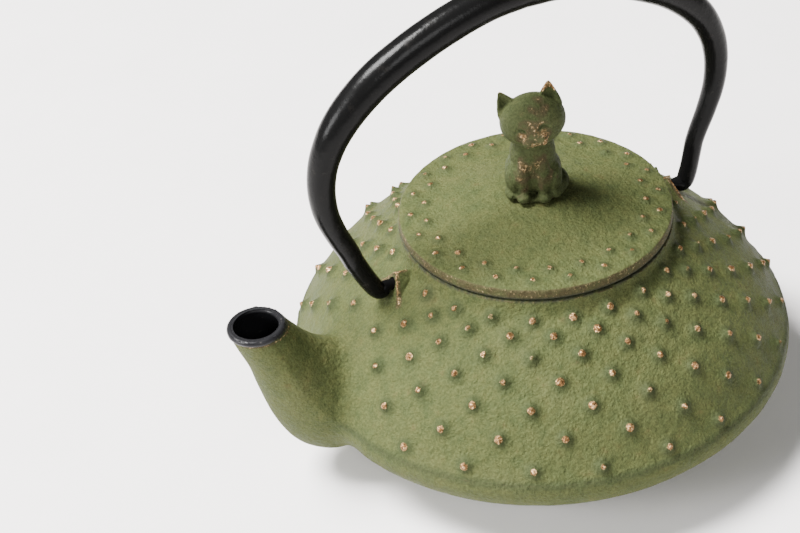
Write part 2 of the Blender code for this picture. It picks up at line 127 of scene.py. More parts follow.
def grain(surface, per_metre, detail=4.0, rough=0.55, stretch=(1.0, 1.0, 1.0)):
    """A noise with so many features to the metre."""
    place = place_in(surface)
    if stretch != (1.0, 1.0, 1.0):
        place = add_node(surface, "ShaderNodeMapping", {"Vector": place, "Scale": stretch}).outputs[0]
    return add_node(surface, "ShaderNodeTexNoise", {
        "Vector": place, "Scale": per_metre, "Detail": detail, "Roughness": rough}).outputs["Fac"]


def marked(surface, name):
    """A value that the mesh carries at each of its points."""
    return add_node(surface, "ShaderNodeAttribute", {}, attribute_name=name).outputs["Fac"]


def eased(surface, value, low, high, start=0.0, end=1.0):
    """A soft step from start to end as a value goes from low to high."""
    return add_node(surface, "ShaderNodeMapRange", {
        "Value": value, "From Min": low, "From Max": high, "To Min": start, "To Max": end},
        interpolation_type="SMOOTHSTEP").outputs["Result"]


def maths(surface, operation, first, second):
    """One sum on two values."""
    return add_node(surface, "ShaderNodeMath", {0: first, 1: second}, operation=operation).outputs[0]


def blended(surface, share, first, second):
    """A mix of two colours."""
    return add_node(surface, "ShaderNodeMix", {0: share, 6: first, 7: second}, data_type="RGBA").outputs[2]


def between(surface, share, first, second):
    """A mix of two values."""
    return add_node(surface, "ShaderNodeMix", {0: share, 2: first, 3: second}, data_type="FLOAT").outputs[0]


def ramp(surface, value, stops):
    """A colour that follows a value through stops of (place, colour)."""
    made = add_node(surface, "ShaderNodeValToRGB", {"Fac": value})
    band = made.color_ramp
    band.elements[0].position, band.elements[0].color = stops[0]
    band.elements[1].position, band.elements[1].color = stops[-1]
    for place, colour in stops[1:-1]:
        band.elements.new(place).color = colour
    return made.outputs["Color"]


def bumped(surface, height, depth, strength=1.0, under=None):
    """A bump of so many metres, laid over another one."""
    inputs = {"Height": height, "Distance": depth, "Strength": strength}
    if under is not None:
        inputs["Normal"] = under
    return add_node(surface, "ShaderNodeBump", inputs).outputs["Normal"]


def finish_of(surface, links, values):
    """Link the sockets of the Principled shader that vary, and set those that don't."""
    shader = surface.node_tree.nodes["Principled BSDF"]
    for name, output in links.items():
        surface.node_tree.links.new(output, shader.inputs[name])
    for name, value in values.items():
        shader.inputs[name].default_value = value


def new_surface(name):
    """An empty material with nodes."""
    made = bpy.data.materials.new(name)
    made.use_nodes = True
    return made


print("node helpers ready")

# %% [markdown]
# ## Floor and light
#
# The pot stands on a plain pale sheet. One broad lamp, high and a little behind it on the left, does most
# of the work and makes the soft shadow to the right. A weaker one from the left lights the flank of the
# spout, and a faint one in front opens the shadows. A dim white world fills the rest. An area lamp is the
# right kind here, because its size sets how soft the shadow is.

# %% Floor, lamps and world
POT_MIDDLE = Vector((0.0, 0.0, 0.04))
REACH = 6.0                        # half the side of the floor, in metres
WORLD_STRENGTH = 0.12


def lamp(name, place, size, watts, colour=(1.0, 1.0, 1.0)):
    """A square area lamp aimed at the middle of the pot."""
    light = bpy.data.lights.new(name, "AREA")
    light.size = size
    light.energy = watts
    light.color = colour
    made = new_object(name, light)
    made.location = place
    made.rotation_mode = "QUATERNION"
    made.rotation_quaternion = (POT_MIDDLE - Vector(place)).to_track_quat("-Z", "Y")


paper = new_surface("pale_paper")
paper_tone = ramp(paper, grain(paper, 30.0), [(0.3, (0.89, 0.865, 0.855, 1)), (0.7, (0.92, 0.895, 0.885, 1))])
finish_of(paper, {"Base Color": paper_tone}, {"Roughness": 0.7})

floor_mesh = bpy.data.meshes.new("floor")
corners = [(-REACH, -REACH, 0.0), (REACH, -REACH, 0.0), (REACH, REACH, 0.0), (-REACH, REACH, 0.0)]
floor_mesh.from_pydata(corners, [], [(0, 1, 2, 3)])
floor_mesh.materials.append(paper)
floor = new_object("floor", floor_mesh)
floor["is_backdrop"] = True

lamp("key_lamp", (-0.80, 0.40, 1.72), 0.75, 182.0, (1.0, 0.99, 0.98))
lamp("side_lamp", (-2.10, -0.10, 1.00), 0.8, 58.0)
lamp("front_lamp", (-0.30, -2.00, 1.60), 0.8, 22.0)

world = bpy.data.worlds.new("studio")
bpy.context.scene.world = world
world.use_nodes = True
sky = world.node_tree.nodes["Background"]
sky.inputs["Color"].default_value = (1.0, 1.0, 1.0, 1.0)
sky.inputs["Strength"].default_value = WORLD_STRENGTH
print("stage ready")

# %% [markdown]
# ## Mesh helpers
#
# Most pieces here are turned, like clay on a wheel: an outline is swung about the upright axis. Outlines
# are given in millimetres, from the top down the outer side, and a smooth curve is run through them. The
# helpers below also read and write all points of a mesh at once, as one table, because that is how we
# press hobnails and grooves into a surface later.

# %% Helpers that make and change meshes
def smooth_run(points, steps):
    """Rows along a smooth curve through the given rows, with this many steps to each span."""
    rows = np.array(points, dtype=float)
    padded = np.vstack([2 * rows[0] - rows[1], rows, 2 * rows[-1] - rows[-2]])
    run = []
    for i in range(len(rows) - 1):
        a, b, c, d = padded[i:i + 4]
        for t in np.arange(steps) / steps:
            run.append(0.5 * (2 * b + (c - a) * t + (2 * a - 5 * b + 4 * c - d) * t ** 2
                              + (3 * b - a - 3 * c + d) * t ** 3))
    run.append(rows[-1])
    return np.array(run)


def split_long(profile, longest):
    """An outline with its long spans cut into steps of at most so many millimetres."""
    made = []
    for start, end in zip(profile, profile[1:]):
        count = max(1, math.ceil(math.dist(start, end) / longest))
        made += [tuple(np.array(start) + (np.array(end) - start) * i / count) for i in range(count)]
    return made + [tuple(profile[-1])]


def rounded(profile, corners):
    """An outline whose corners with these numbers are rounded; corners holds {number: radius}."""
    made = []
    for i, point in enumerate(profile):
        if i not in corners:
            made.append(tuple(point))
            continue
        here = np.array(point, float)
        before = np.array(profile[i - 1], float) - here
        after = np.array(profile[(i + 1) % len(profile)], float) - here
        start = here + before / np.linalg.norm(before) * corners[i]
        end = here + after / np.linalg.norm(after) * corners[i]
        for t in np.linspace(0.0, 1.0, 5):
            made.append(tuple((1 - t) ** 2 * start + 2 * t * (1 - t) * here + t ** 2 * end))
    return made


def from_bmesh(name, bm):
    """A new object from a bmesh, with its faces pointing out."""
    bmesh.ops.recalc_face_normals(bm, faces=bm.faces)
    mesh = bpy.data.meshes.new(name)
    bm.to_mesh(mesh)
    bm.free()
    return new_object(name, mesh)


def skin(name, rows, closed_ends=True, ring=False):
    """A skin over rows of points; a row of one point is a tip. A ring's last row joins its first."""
    bm = bmesh.new()
    made = [[bm.verts.new(point) for point in row] for row in rows]
    count = max(len(row) for row in made)
    pairs = list(zip(made, made[1:])) + ([(made[-1], made[0])] if ring else [])
    for upper, lower in pairs:
        for i in range(count):
            j = (i + 1) % count
            above, below = upper[i % len(upper)], lower[i % len(lower)]
            next_above, next_below = upper[j % len(upper)], lower[j % len(lower)]
            bm.faces.new(list(dict.fromkeys([above, below, next_below, next_above])))
    if closed_ends and not ring:
        for row in (made[0], made[-1]):
            if len(row) > 2:
                bm.faces.new(row)
    return from_bmesh(name, bm)


def turned(name, profile, steps=256):
    """Turn an outline of (radius, height) in millimetres about Z. One that stays off the axis is a ring."""
    angles = np.arange(steps) * (math.tau / steps)
    rows = []
    for radius, height in profile:
        spins = angles if radius > 1e-6 else angles[:1]
        rows.append([(radius * MM * math.cos(a), radius * MM * math.sin(a), height * MM) for a in spins])
    return skin(name, rows, closed_ends=False, ring=profile[0][0] > 1e-6)


def tube(name, points, radii, sides):
    """A round bar along the points, in metres, with its radius at each of them."""
    path = [Vector(point) for point in points]
    across = None
    rows = []
    for i, point in enumerate(path):
        ahead = (path[min(i + 1, len(path) - 1)] - path[max(i - 1, 0)]).normalized()
        if across is None:
            across = ahead.orthogonal().normalized()
        across = (across - ahead * across.dot(ahead)).normalized()
        up = ahead.cross(across)
        rows.append([point + (across * math.cos(a) + up * math.sin(a)) * radii[i]
                     for a in np.arange(sides) * (math.tau / sides)])
    return skin(name, rows)


def applied(source, name):
    """A mesh object with the shape that another has after its modifiers; the other is removed."""
    bpy.context.view_layer.update()
    evaluated = source.evaluated_get(bpy.context.evaluated_depsgraph_get())
    mesh = bpy.data.meshes.new_from_object(evaluated)
    mesh.transform(source.matrix_world)
    bpy.data.objects.remove(source, do_unlink=True)
    mesh.name = name
    return new_object(name, mesh)


def joined(name, parts):
    """Several meshes in one object, side by side."""
    bm = bmesh.new()
    for part in parts:
        part.data.transform(part.matrix_world)
        bm.from_mesh(part.data)
        bpy.data.objects.remove(part, do_unlink=True)
    mesh = bpy.data.meshes.new(name)
    bm.to_mesh(mesh)
    bm.free()
    return new_object(name, mesh)


def remeshed(source, cell):
    """The outer skin of overlapping solids as one even net of small faces."""
    name = source.name
    step = source.modifiers.new("remesh", "REMESH")
    step.mode = "VOXEL"
    step.voxel_size = cell
    source.name = "rough"
    return applied(source, name)


def combined(target, tool, operation, materials="INDEX"):
    """Join a solid to another, or cut it out of the other."""
    name = target.name
    step = target.modifiers.new("combine", "BOOLEAN")
    step.solver = "EXACT"
    step.operation = operation
    step.material_mode = materials
    step.object = tool
    target.name = "before"
    made = applied(target, name)
    bpy.data.objects.remove(tool, do_unlink=True)
    return made


def cut(target, tool):
    """Take one solid away from another. The new faces keep the tool's material."""
    return combined(target, tool, "DIFFERENCE", "TRANSFER")


def points_of(piece):
    """All points of a mesh as a table."""
    table = np.empty(len(piece.data.vertices) * 3)
    piece.data.vertices.foreach_get("co", table)
    return table.reshape(-1, 3)


def normals_of(piece):
    """The direction out of the surface at every point of a mesh."""
    table = np.empty(len(piece.data.vertices) * 3)
    piece.data.vertices.foreach_get("normal", table)
    return table.reshape(-1, 3)


def move_points(piece, table):
    """Write the table of points back to the mesh."""
    piece.data.vertices.foreach_set("co", table.ravel())
    piece.data.update()


def mark(piece, **marks):
    """Store values from 0 to 1 for each point, by name, where a material can read them."""
    for name, values in marks.items():
        stored = piece.data.attributes.new(name, "FLOAT", "POINT")
        stored.data.foreach_set("value", np.clip(values, 0.0, 1.0).astype(np.float32))


def shade(piece, sharp_angle):
    """Shade a piece smooth, apart from edges sharper than so many degrees."""
    piece.data.shade_smooth()
    piece.data.set_sharp_from_angle(angle=math.radians(sharp_angle))


def relaxed(piece, table, share, rounds):
    """Draw each point towards its neighbours, by its own share, several times."""
    edges = np.empty(len(piece.data.edges) * 2, dtype=np.int32)
    piece.data.edges.foreach_get("vertices", edges)
    first, second = edges.reshape(-1, 2).T
    count = np.bincount(edges, minlength=len(table))[:, None]
    for _ in range(rounds):
        total = np.zeros_like(table)
        np.add.at(total, first, table[second])
        np.add.at(total, second, table[first])
        table = table + share[:, None] * (total / count - table) * 0.5
    return table


def soft_step(values, low, high):
    """0 below low, 1 above high, and smooth between them."""
    t = np.clip((values - low) / (high - low), 0.0, 1.0)
    return t * t * (3.0 - 2.0 * t)


def gap_to_line(table, line):
    """How far each point is from a line through several points."""
    nearest = np.full(len(table), 1e9)
    for start, end in zip(line, line[1:]):
        start, end = np.array(start, float), np.array(end, float)
        along = end - start
        t = np.clip((table - start) @ along / (along @ along), 0.0, 1.0)
        nearest = np.minimum(nearest, np.linalg.norm(table - start - t[:, None] * along, axis=1))
    return nearest


def waviness(table, per_metre, seed):
    """A smooth noise between about -1 and 1 at each point."""
    shift = Vector((seed * 7.1, seed * 3.7, seed * 5.3))
    return np.array([noise.noise(Vector(point) * per_metre + shift) for point in table])


print("mesh helpers ready")

# %% [markdown]
# ## The pot
#
# The real pot is one casting: a turned belly with a spout and two lugs grown out of it, so there is no
# seam where they meet, only a soft hollow. Joining the meshes point by point would leave a hard crease.
# Instead the solids are pushed through each other and the whole is remeshed in small even cells, which
# keeps only the outer skin. Then the net is relaxed just where two solids meet, and the crease turns
# into the hollow that molten iron leaves.

# %% The outline and the solids of the pot
COLLAR = [(0.0, 60.7), (37.4, 60.7), (37.8, 60.3), (37.8, 58.3)]
ROWS = [(67.6, 29.0), (63.3, 35.9), (58.4, 41.7), (53.1, 46.0), (48.0, 50.2), (43.5, 53.4), (39.6, 55.5)]
DOME = [(37.9, 57.3)] + ROWS[::-1] + [(69.7, 26.2)]
UNDERSIDE = [(70.6, 24.0), (70.2, 20.6), (67.9, 17.0), (64.2, 13.4), (60.2, 10.1), (53.8, 6.2), (46.0, 2.3)]
FOOT = [(40.4, 0.4), (39.2, 0.0), (36.0, 0.0), (35.2, 0.6), (0.0, 1.0)]

SPOUT_STATIONS = [                 # upper x, z; lower x, z; half width; sharpness of the side ridge
    (-47.0, 34.0, -56.0, 8.5, 14.0, 0.5),
    (-56.0, 39.5, -68.0, 7.8, 14.8, 0.5),
    (-61.8, 42.0, -77.2, 13.6, 14.2, 0.45),
    (-66.3, 44.8, -82.3, 23.2, 12.4, 0.4),
    (-69.6, 48.0, -85.2, 34.4, 10.5, 0.3),
    (-72.5, 51.9, -87.2, 44.2, 9.0, 0.2),
    (-74.7, 55.1, -89.6, 51.6, 8.1, 0.1),
    (-75.7, 57.2, -91.2, 57.2, 7.75, 0.0)]
CHANNEL_STATIONS = [               # x, z, radius
    (-56.0, 23.0, 9.4), (-64.5, 26.0, 9.5), (-70.6, 31.0, 9.2), (-74.6, 36.2, 8.4), (-77.5, 41.9, 7.2),
    (-79.9, 48.2, 6.3), (-82.2, 53.3, 6.1), (-83.4, 57.3, 6.1), (-83.6, 60.0, 6.1)]

belly_curve = smooth_run(DOME + UNDERSIDE, 6)
pot_profile = split_long(COLLAR, 1.0) + [tuple(row) for row in belly_curve] + split_long(FOOT, 2.0)
belly = turned("belly", pot_profile, 240)

spout_rings = []
for top_x, top_z, low_x, low_z, half_width, ridge in smooth_run(SPOUT_STATIONS, 6):
    top, low = Vector((top_x, 0.0, top_z)), Vector((low_x, 0.0, low_z))
    middle, rise = (top + low) / 2, (top - low) / 2
    ring = []
    for angle in np.arange(96) * (math.tau / 96):
        lift = math.sin(angle) * (1.0 - ridge + ridge * abs(math.sin(angle)))
        ring.append((middle + rise * lift + Vector((0.0, half_width * math.cos(angle), 0.0))) * MM)
    spout_rings.append(ring)
spout = skin("spout", spout_rings)
print("belly", len(belly.data.polygons), "faces, spout", len(spout.data.polygons))

# %% [markdown]
# ## The casting in one skin
#
# The spout goes through the remesh with the belly, because its root must melt into the belly. A cell of
# about a millimetre keeps the outline true without making the casting too heavy a mesh.

# %% The casting in one skin
CELL = 1.02 * MM
casting = remeshed(joined("pot_casting", [belly, spout]), CELL)
print("casting", len(casting.data.polygons), "faces")

# %% [markdown]
# ## A soft hollow at the root
#
# A point that is near the belly's own outline and also near the spout lies in the crease between them.
# It is drawn towards its neighbours many times, and so is a point at the foot of the collar, but less.

# %% Relax the creases
def off_outline(table):
    """How far each point is outside the turned belly, measured across its outline."""
    curve = np.array([row for row in pot_profile if row[0] > 1.0]) * MM
    radius = np.hypot(table[:, 0], table[:, 1])
    flat = np.stack([radius, np.zeros(len(radius)), table[:, 2]], axis=1)
    return gap_to_line(flat, [(r, 0.0, z) for r, z in curve])


table = points_of(casting)
outside = off_outline(table)
heading = np.degrees(np.arctan2(table[:, 1], -table[:, 0]))
at_spout = (table[:, 0] < -44 * MM) & (np.abs(heading) < 24) & (table[:, 2] > 4 * MM)
root = np.where(at_spout, soft_step(outside, 4.5 * MM, 0.4 * MM), 0.0)
stations = smooth_run(SPOUT_STATIONS, 4)
spout_axis = [((row[0] + row[2]) / 2 * MM, 0.0, (row[1] + row[3]) / 2 * MM) for row in stations]
from_axis = gap_to_line(table, spout_axis)
root *= soft_step(from_axis, 24 * MM, 18 * MM)
table = relaxed(casting, table, root, 60)
radius = np.hypot(table[:, 0], table[:, 1])
collar_foot = soft_step(np.hypot(radius - 38.2 * MM, table[:, 2] - 57.2 * MM), 2.6 * MM, 0.8 * MM)
table = relaxed(casting, table, collar_foot, 14)
move_points(casting, table)
print("points in the spout's hollow:", int((root > 0.5).sum()))

# %% [markdown]
# ## The lugs
#
# A lug is a long pyramid, cut off on its outer side by a steep face, and its edges are crisper than any
# other line of the casting. So it has a finer net of its own and is joined on with a Boolean, which
# keeps both nets as they are. A few corner points and their convex hull make the rough form.

# %% The lugs
LUG_PEAK = Vector((43.0, 0.8, 57.8))
LUG_CORNERS = [(43.0, 0.8, 57.8), (39.8, 0.0, 57.8), (33.5, 0.0, 56.1), (46.2, 8.2, 49.0), (33.5, 6.6, 49.0)]
LUG_EDGE_FOOT = Vector((45.3, 6.3, 51.6))


def lug_solid(side):
    """The pyramid of one lug, with its outer face leaning out towards its foot."""
    bm = bmesh.new()
    for x, y, z in LUG_CORNERS:
        for way in (1, -1):
            bm.verts.new(Vector((side * x, way * y, z)) * MM)
    bmesh.ops.remove_doubles(bm, verts=bm.verts, dist=0.01 * MM)
    bmesh.ops.convex_hull(bm, input=bm.verts)
    return remeshed(from_bmesh("lug", bm), 0.3 * MM)


for side in (1, -1):
    casting = combined(casting, lug_solid(side), "UNION")
print("casting with lugs", len(casting.data.polygons), "faces")

# %% [markdown]
# ## Hobnails
#
# The hobnails of such a pot are pressed one by one into the sand mould, so each is a soft cone with its
# own small faults. They sit in seven rows and by turns, like bricks. Around each one the net is made
# finer, and then its points are pushed out along the belly's normal by a bell-shaped height. Next to the
# height we store how near each point is to a tip ("bare"), because the tips are rubbed to the metal, and
# how near it is to a foot, where shade is painted in as a darker green.

# %% Raise the hobnails
HOBNAIL_HEIGHT = 2.1 * MM
HOBNAIL_FOOT = 3.5 * MM


def hobnail_spots():
    """Centre and outward direction of each hobnail, with a number of its own."""
    outline = np.array([(69.7, 26.2)] + ROWS + [(37.9, 57.3)])
    dice = np.random.default_rng(12)
    spots = []
    for row, (radius, height) in enumerate(ROWS):
        along = outline[row + 2] - outline[row]
        slope = np.array([along[1], -along[0]]) / np.linalg.norm(along)
        for column in range(48):
            luck = dice.normal(0.0, 1.0, 4)
            from_spout = min(column, 48 - column)
            from_lug = min(from_spout, 24 - from_spout)
            under_spout = row < 3 and from_spout <= (2, 1, 0)[row]
            if (column + row) % 2 or under_spout or (row >= 4 and from_lug <= 1):
                continue
            angle = math.radians(7.5 * column + 0.25 * luck[0])
            out = Vector((-math.cos(angle), math.sin(angle), 0.0))
            centre = (out * (radius + 0.12 * luck[1]) + Vector((0.0, 0.0, height))) * MM
            direction = out * slope[0] + Vector((0.0, 0.0, slope[1]))
            spots.append((np.array(centre), np.array(direction), luck[2:]))
    return spots


def finer(piece, centres, reach):
    """Split each face near one of the centres into four."""
    bm = bmesh.new()
    bm.from_mesh(piece.data)
    table = points_of(piece)
    near = np.zeros(len(table), bool)
    for centre in centres:
        near |= np.linalg.norm(table - centre, axis=1) < reach
    chosen = [face for face in bm.faces if any(near[v.index] for v in face.verts)]
    edges = list({edge for face in chosen for edge in face.edges})
    bmesh.ops.subdivide_edges(bm, edges=edges, cuts=1, use_grid_fill=True)
    bm.to_mesh(piece.data)
    bm.free()
    piece.data.update()


def raise_hobnails(piece, spots, height, foot):
    """Push out the hobnails, and mark their tips, and their feet for painted shade."""
    table = points_of(piece)
    bare, halo = np.zeros(len(table)), np.zeros(len(table))
    lift = np.zeros_like(table)
    for centre, direction, luck in spots:
        apart = table - centre
        upright = apart @ direction
        across = np.linalg.norm(apart - upright[:, None] * direction, axis=1)
        close = np.linalg.norm(apart, axis=1) < 2.2 * foot
        t = across[close] / foot
        bell = np.exp(-(t / 0.44) ** 1.45) * (1.0 + 0.1 * luck[0])
        lift[close] += (height * bell)[:, None] * direction
        bare[close] = np.maximum(bare[close], soft_step(t, 0.56, 0.05) * (1.0 + 0.18 * luck[1]))
        # Painted shade: the feet of the hobnails are marked to be painted a darker green.
        halo[close] = np.maximum(halo[close], soft_step(t, 1.05, 0.35))
    move_points(piece, table + lift)
    return bare, halo


spots = hobnail_spots()
finer(casting, [centre for centre, _, _ in spots], 0.85 * HOBNAIL_FOOT)
bare, halo = raise_hobnails(casting, spots, HOBNAIL_HEIGHT, HOBNAIL_FOOT)
print(len(spots), "hobnails; casting", len(casting.data.polygons), "faces")

# %% [markdown]
# ## The parting line and the skin of the casting
#
# Where the two halves of the mould met, a rough bead runs round the belly and up both sides of the
# spout. It has been filed down until it is hardly more than a line. The rest of the surface waves a
# little, as sand castings do; the sand itself is too fine for the mesh and comes from the finish.

# %% Parting line and cast skin
SEAM = (70.0 * MM, 26.0 * MM)      # radius and height of the line on the belly
SEAM_FADES = (57 * MM, 50 * MM)    # the heights where the line on the spout fades out

table = points_of(casting)
radius = np.hypot(table[:, 0], table[:, 1])
flat_out = normals_of(casting)
from_spout_side = soft_step(np.abs(np.arctan2(table[:, 1], -table[:, 0])), math.radians(9), math.radians(13))
belly_gap = np.hypot(radius - SEAM[0], table[:, 2] - SEAM[1])
seam = np.exp(-(belly_gap / (0.55 * MM)) ** 2) * from_spout_side
near_seam = 0.60 * soft_step(belly_gap, 1.2 * MM, 0.2 * MM) * from_spout_side
for side in (1, -1):
    line = [((row[0] + row[2]) / 2 * MM, side * row[4] * MM, (row[1] + row[3]) / 2 * MM)
            for row in stations[4:]]
    gap = gap_to_line(table, line)
    faded = soft_step(table[:, 2], *SEAM_FADES)
    seam = np.maximum(seam, np.exp(-(gap / (0.6 * MM)) ** 2) * faded)
    near_seam = np.maximum(near_seam, 0.45 * soft_step(gap, 1.2 * MM, 0.2 * MM) * faded)
uneven = waviness(table, 330.0, 1)
broad = waviness(table, 110.0, 2)
height = seam * (0.22 + 0.25 * uneven) * MM + (0.045 * uneven + 0.07 * broad) * MM
height *= soft_step(table[:, 2], 0.3 * MM, 3.0 * MM)
move_points(casting, table + flat_out * height[:, None])
print("bead stands", round(float((seam * height).max()) / MM, 2), "mm proud")

# %% [markdown]
# Hands and cloths wear the paint where it stands out, so the edges of the lugs, the foot of the spout's
# lip and the rim of the collar get their marks too. "Seam" stands for brown, rough wear with bright
# specks in it, and "bare" for metal rubbed clean. We measure how far each point is from such an edge.

# %% Wear on the edges of the casting
LUG_RIDGE = [Vector((43.0, 0.0, 57.8)), Vector((39.8, 0.0, 57.8))]
LIP_FOOT = (83.4 * MM, 55.3 * MM)  # how far in front of the middle, and how high
COLLAR_RIM = (37.75 * MM, 60.4 * MM)

lug_edge = np.full(len(table), 1.0)
for side in (1, -1):
    for way in (1, -1):
        turn = Vector((side, way, 1.0)) * MM
        lug_edge = np.minimum(lug_edge, gap_to_line(table, [LUG_PEAK * turn, LUG_EDGE_FOOT * turn]))
    ridge = [point * Vector((side, 1.0, 1.0)) * MM for point in LUG_RIDGE]
    lug_edge = np.minimum(lug_edge, gap_to_line(table, ridge) * 1.5)
bare = np.maximum(bare, 0.86 * soft_step(lug_edge, 1.0 * MM, 0.1 * MM))
# Painted shade: the parting line is marked to be painted a darker green, as the shadow along its bead.
halo = np.maximum(halo, soft_step(belly_gap, 1.7 * MM, 0.6 * MM) * from_spout_side)
near_seam = np.maximum(near_seam, 0.85 * soft_step(lug_edge, 1.9 * MM, 0.7 * MM))
from_mouth = np.hypot(table[:, 0] + LIP_FOOT[0], table[:, 1])
lip_foot = soft_step(np.abs(table[:, 2] - LIP_FOOT[1]), 0.8 * MM, 0.3 * MM)
lip_foot *= soft_step(from_mouth, 9.5 * MM, 9.0 * MM)
near_seam = np.maximum(near_seam, 0.9 * lip_foot)
collar_rim = np.hypot(radius - COLLAR_RIM[0], table[:, 2] - COLLAR_RIM[1])
near_seam = np.maximum(near_seam, 0.8 * soft_step(collar_rim, 0.8 * MM, 0.2 * MM))
mark(casting, bare=bare, halo=halo, seam=near_seam)
print("worn to the metal:", int((bare > 0.5).sum()), "points")

# %% [markdown]
# ## The inside
#
# The inside is coated with black enamel, which is glassy and thin. We cut the hollow out with two tools,
# one for the belly and one for the spout's channel, and give the tools the enamel as their material: the
# Boolean passes it on to the faces that it makes, so the coat ends exactly where the hollow does.

# %% Hollow the casting
CAVITY = [(31.8, 53.2), (37.0, 52.9), (41.5, 50.6), (51.0, 43.2), (60.6, 33.6), (64.9, 27.4), (67.4, 24.3),
          (66.6, 21.6), (64.6, 18.8), (61.6, 15.9), (57.8, 12.9), (51.8, 9.4), (45.0, 6.2), (38.0, 4.0)]
LEDGE = [(0.0, 62.7), (34.0, 62.7), (34.0, 55.5), (31.8, 55.5), (31.8, 53.2)]
HINGE_HEIGHT = 54.7 * MM
PIN_RADIUS = 1.5 * MM
GAP = 0.3 * MM
SOCKET = (41 * MM, 48 * MM)        # from its blind end out past the face of the lug
MOUTH = np.array((-83.45, 0.0, 57.2)) * MM

enamel = new_surface("black_enamel")
patina = new_surface("green_patina")
casting.data.materials.append(patina)

hollow = turned("hollow", LEDGE + [tuple(row) for row in smooth_run(CAVITY, 3)][1:] + [(0.0, 4.0)], 120)
run = smooth_run([(x, 0.0, z, r) for x, z, r in CHANNEL_STATIONS], 5) * MM
channel = tube("channel", run[:, :3], run[:, 3], 48)
sockets = [tube("socket", [(side * reach, 0.0, HINGE_HEIGHT) for reach in SOCKET], [PIN_RADIUS + GAP] * 2, 24)
           for side in (1, -1)]
hollow.data.materials.append(enamel)
channel.data.materials.append(enamel)
for tool in (hollow, channel, joined("sockets", sockets)):
    casting = cut(casting, tool)
table = points_of(casting)
radius = np.hypot(table[:, 0], table[:, 1])
lip = soft_step(np.linalg.norm(table - MOUTH, axis=1), 9.6 * MM, 8.9 * MM)
# Painted shade: the top of the collar, under the lid, is marked to be painted near black.
collar_top = (radius < 37.6 * MM) & (table[:, 2] > COLLAR_RIM[1])
mark(casting, enamel=lip * soft_step(table[:, 2], 55.5 * MM, 56.0 * MM), collar=collar_top)
shade(casting, 40)
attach(casting, "pot")
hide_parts("pot_body")
print("pot casting", len(casting.data.polygons), "faces")

# %% [markdown]
# The lip of the spout is dipped in the same enamel, which gathers into a round bead. A ring of its own,
# swept round the mouth, gives that fat rounded edge where the cut would leave a sharp one.

# %% The enamelled lip of the spout
LIP_MIDDLE = (-83.42, 56.35)
LIP_RADIUS = 6.90
LIP_HALF_WIDTH = 0.98
LIP_HALF_HEIGHT = 0.9

rows = []
for angle in np.arange(96) * (math.tau / 96):
    out = Vector((math.cos(angle), math.sin(angle), 0.0))
    swell = 1.0 + 0.05 * noise.noise(Vector((3 * out.x, 3 * out.y, 4.0)))
    row = []
    for turn in np.arange(20) * (math.tau / 20):
        reach = LIP_RADIUS + LIP_HALF_WIDTH * swell * math.cos(turn)
        high = LIP_MIDDLE[1] + LIP_HALF_HEIGHT * math.sin(turn)
        row.append(Vector((LIP_MIDDLE[0] + out.x * reach, out.y * reach, high)) * MM)
    rows.append(row)
spout_lip = skin("spout_lip", rows, ring=True)
spout_lip.data.shade_smooth()
spout_lip.data.materials.append(enamel)
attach(spout_lip, "pot")
print("lip", len(spout_lip.data.polygons), "faces")

# %% [markdown]
# ## The lid
#
# The lid is a shallow dome with two rings of smaller hobnails and a lip below that drops into the mouth.
# It can be turned like the belly. We use so many steps that the hobnails have points enough to rise from.

# %% The lid
LID_TOP = 69.0
LID_SEAT = 61.0
LID_DOME = [(8.0, 69.0), (12.5, 68.5), (18.0, 67.5), (24.0, 66.2), (28.4, 65.35), (32.2, 64.85),
            (36.3, 64.35)]
LID_UNDER = [(28.0, 62.0), (20.0, 64.0), (10.0, 65.8), (7.0, 66.0)]
LID_HOBNAILS = 22
LID_TURN = math.radians(-5.1)
SCREW_RADIUS = 1.7

outer = [(2.0, LID_TOP)] + [tuple(row) for row in smooth_run(LID_DOME, 10)]
outer += rounded([(36.3, 64.35), (37.5, 64.1), (37.5, LID_SEAT), (33.0, LID_SEAT)], {1: 0.55, 2: 0.6})[1:-1]
outer += rounded([(34.0, LID_SEAT), (33.0, LID_SEAT), (33.0, 57.2), (30.5, 57.2), (30.5, 61.2)],
                 {2: 0.5, 3: 0.5})[1:]
lid_profile = split_long(outer, 0.55) + [tuple(row) for row in smooth_run(LID_UNDER, 4)] + [(2.0, 66.0)]
lid = turned("lid_casting", lid_profile, 440)

lid_spots = []
dice = np.random.default_rng(5)
for ring, (ring_radius, ring_height) in enumerate([(34.1, 64.62), (30.3, 65.1)]):
    for k in range(LID_HOBNAILS):
        angle = LID_TURN + (k + 0.5 * ring) * math.tau / LID_HOBNAILS
        out = np.array((math.cos(angle), math.sin(angle), 0.0))
        lid_spots.append((out * ring_radius * MM + (0, 0, ring_height * MM), np.array((0.0, 0.0, 1.0)),
                          dice.normal(0.0, 1.0, 2)))
print(len(lid_spots), "hobnails on the lid, which has", len(lid.data.polygons), "faces")

# %% Hobnails and wear on the lid
bare, halo = raise_hobnails(lid, lid_spots, 1.15 * MM, 2.9 * MM)
table = points_of(lid)
radius = np.hypot(table[:, 0], table[:, 1])
uneven = waviness(table, 330.0, 6)
rim_band = soft_step(radius, 36.8 * MM, 37.4 * MM) * (table[:, 2] > 61.2 * MM)
top_side = soft_step(table[:, 2], 61.5 * MM, 62.5 * MM) * (normals_of(lid)[:, 2] > -0.5)
move_points(lid, table + normals_of(lid) * (top_side * (0.05 + 0.09 * rim_band) * uneven * MM)[:, None])
# Painted shade: the lower part of the lid's rim and its lip are marked to be painted near black, as the
# shadow in the gap under the lid.
lid_gap_shade = soft_step(table[:, 2], 62.0 * MM, 61.4 * MM)
underneath = (radius < 33.0 * MM) & (normals_of(lid)[:, 2] < -0.3)
# The feet of the lid's hobnails are marked for painted shade too, at 0.7 of the belly's strength.
mark(lid, bare=bare, halo=0.7 * halo, seam=0.76 * rim_band, collar=lid_gap_shade, enamel=underneath)
lid.data.materials.append(patina)
shade(lid, 50)
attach(lid, "lid")
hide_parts("lid")

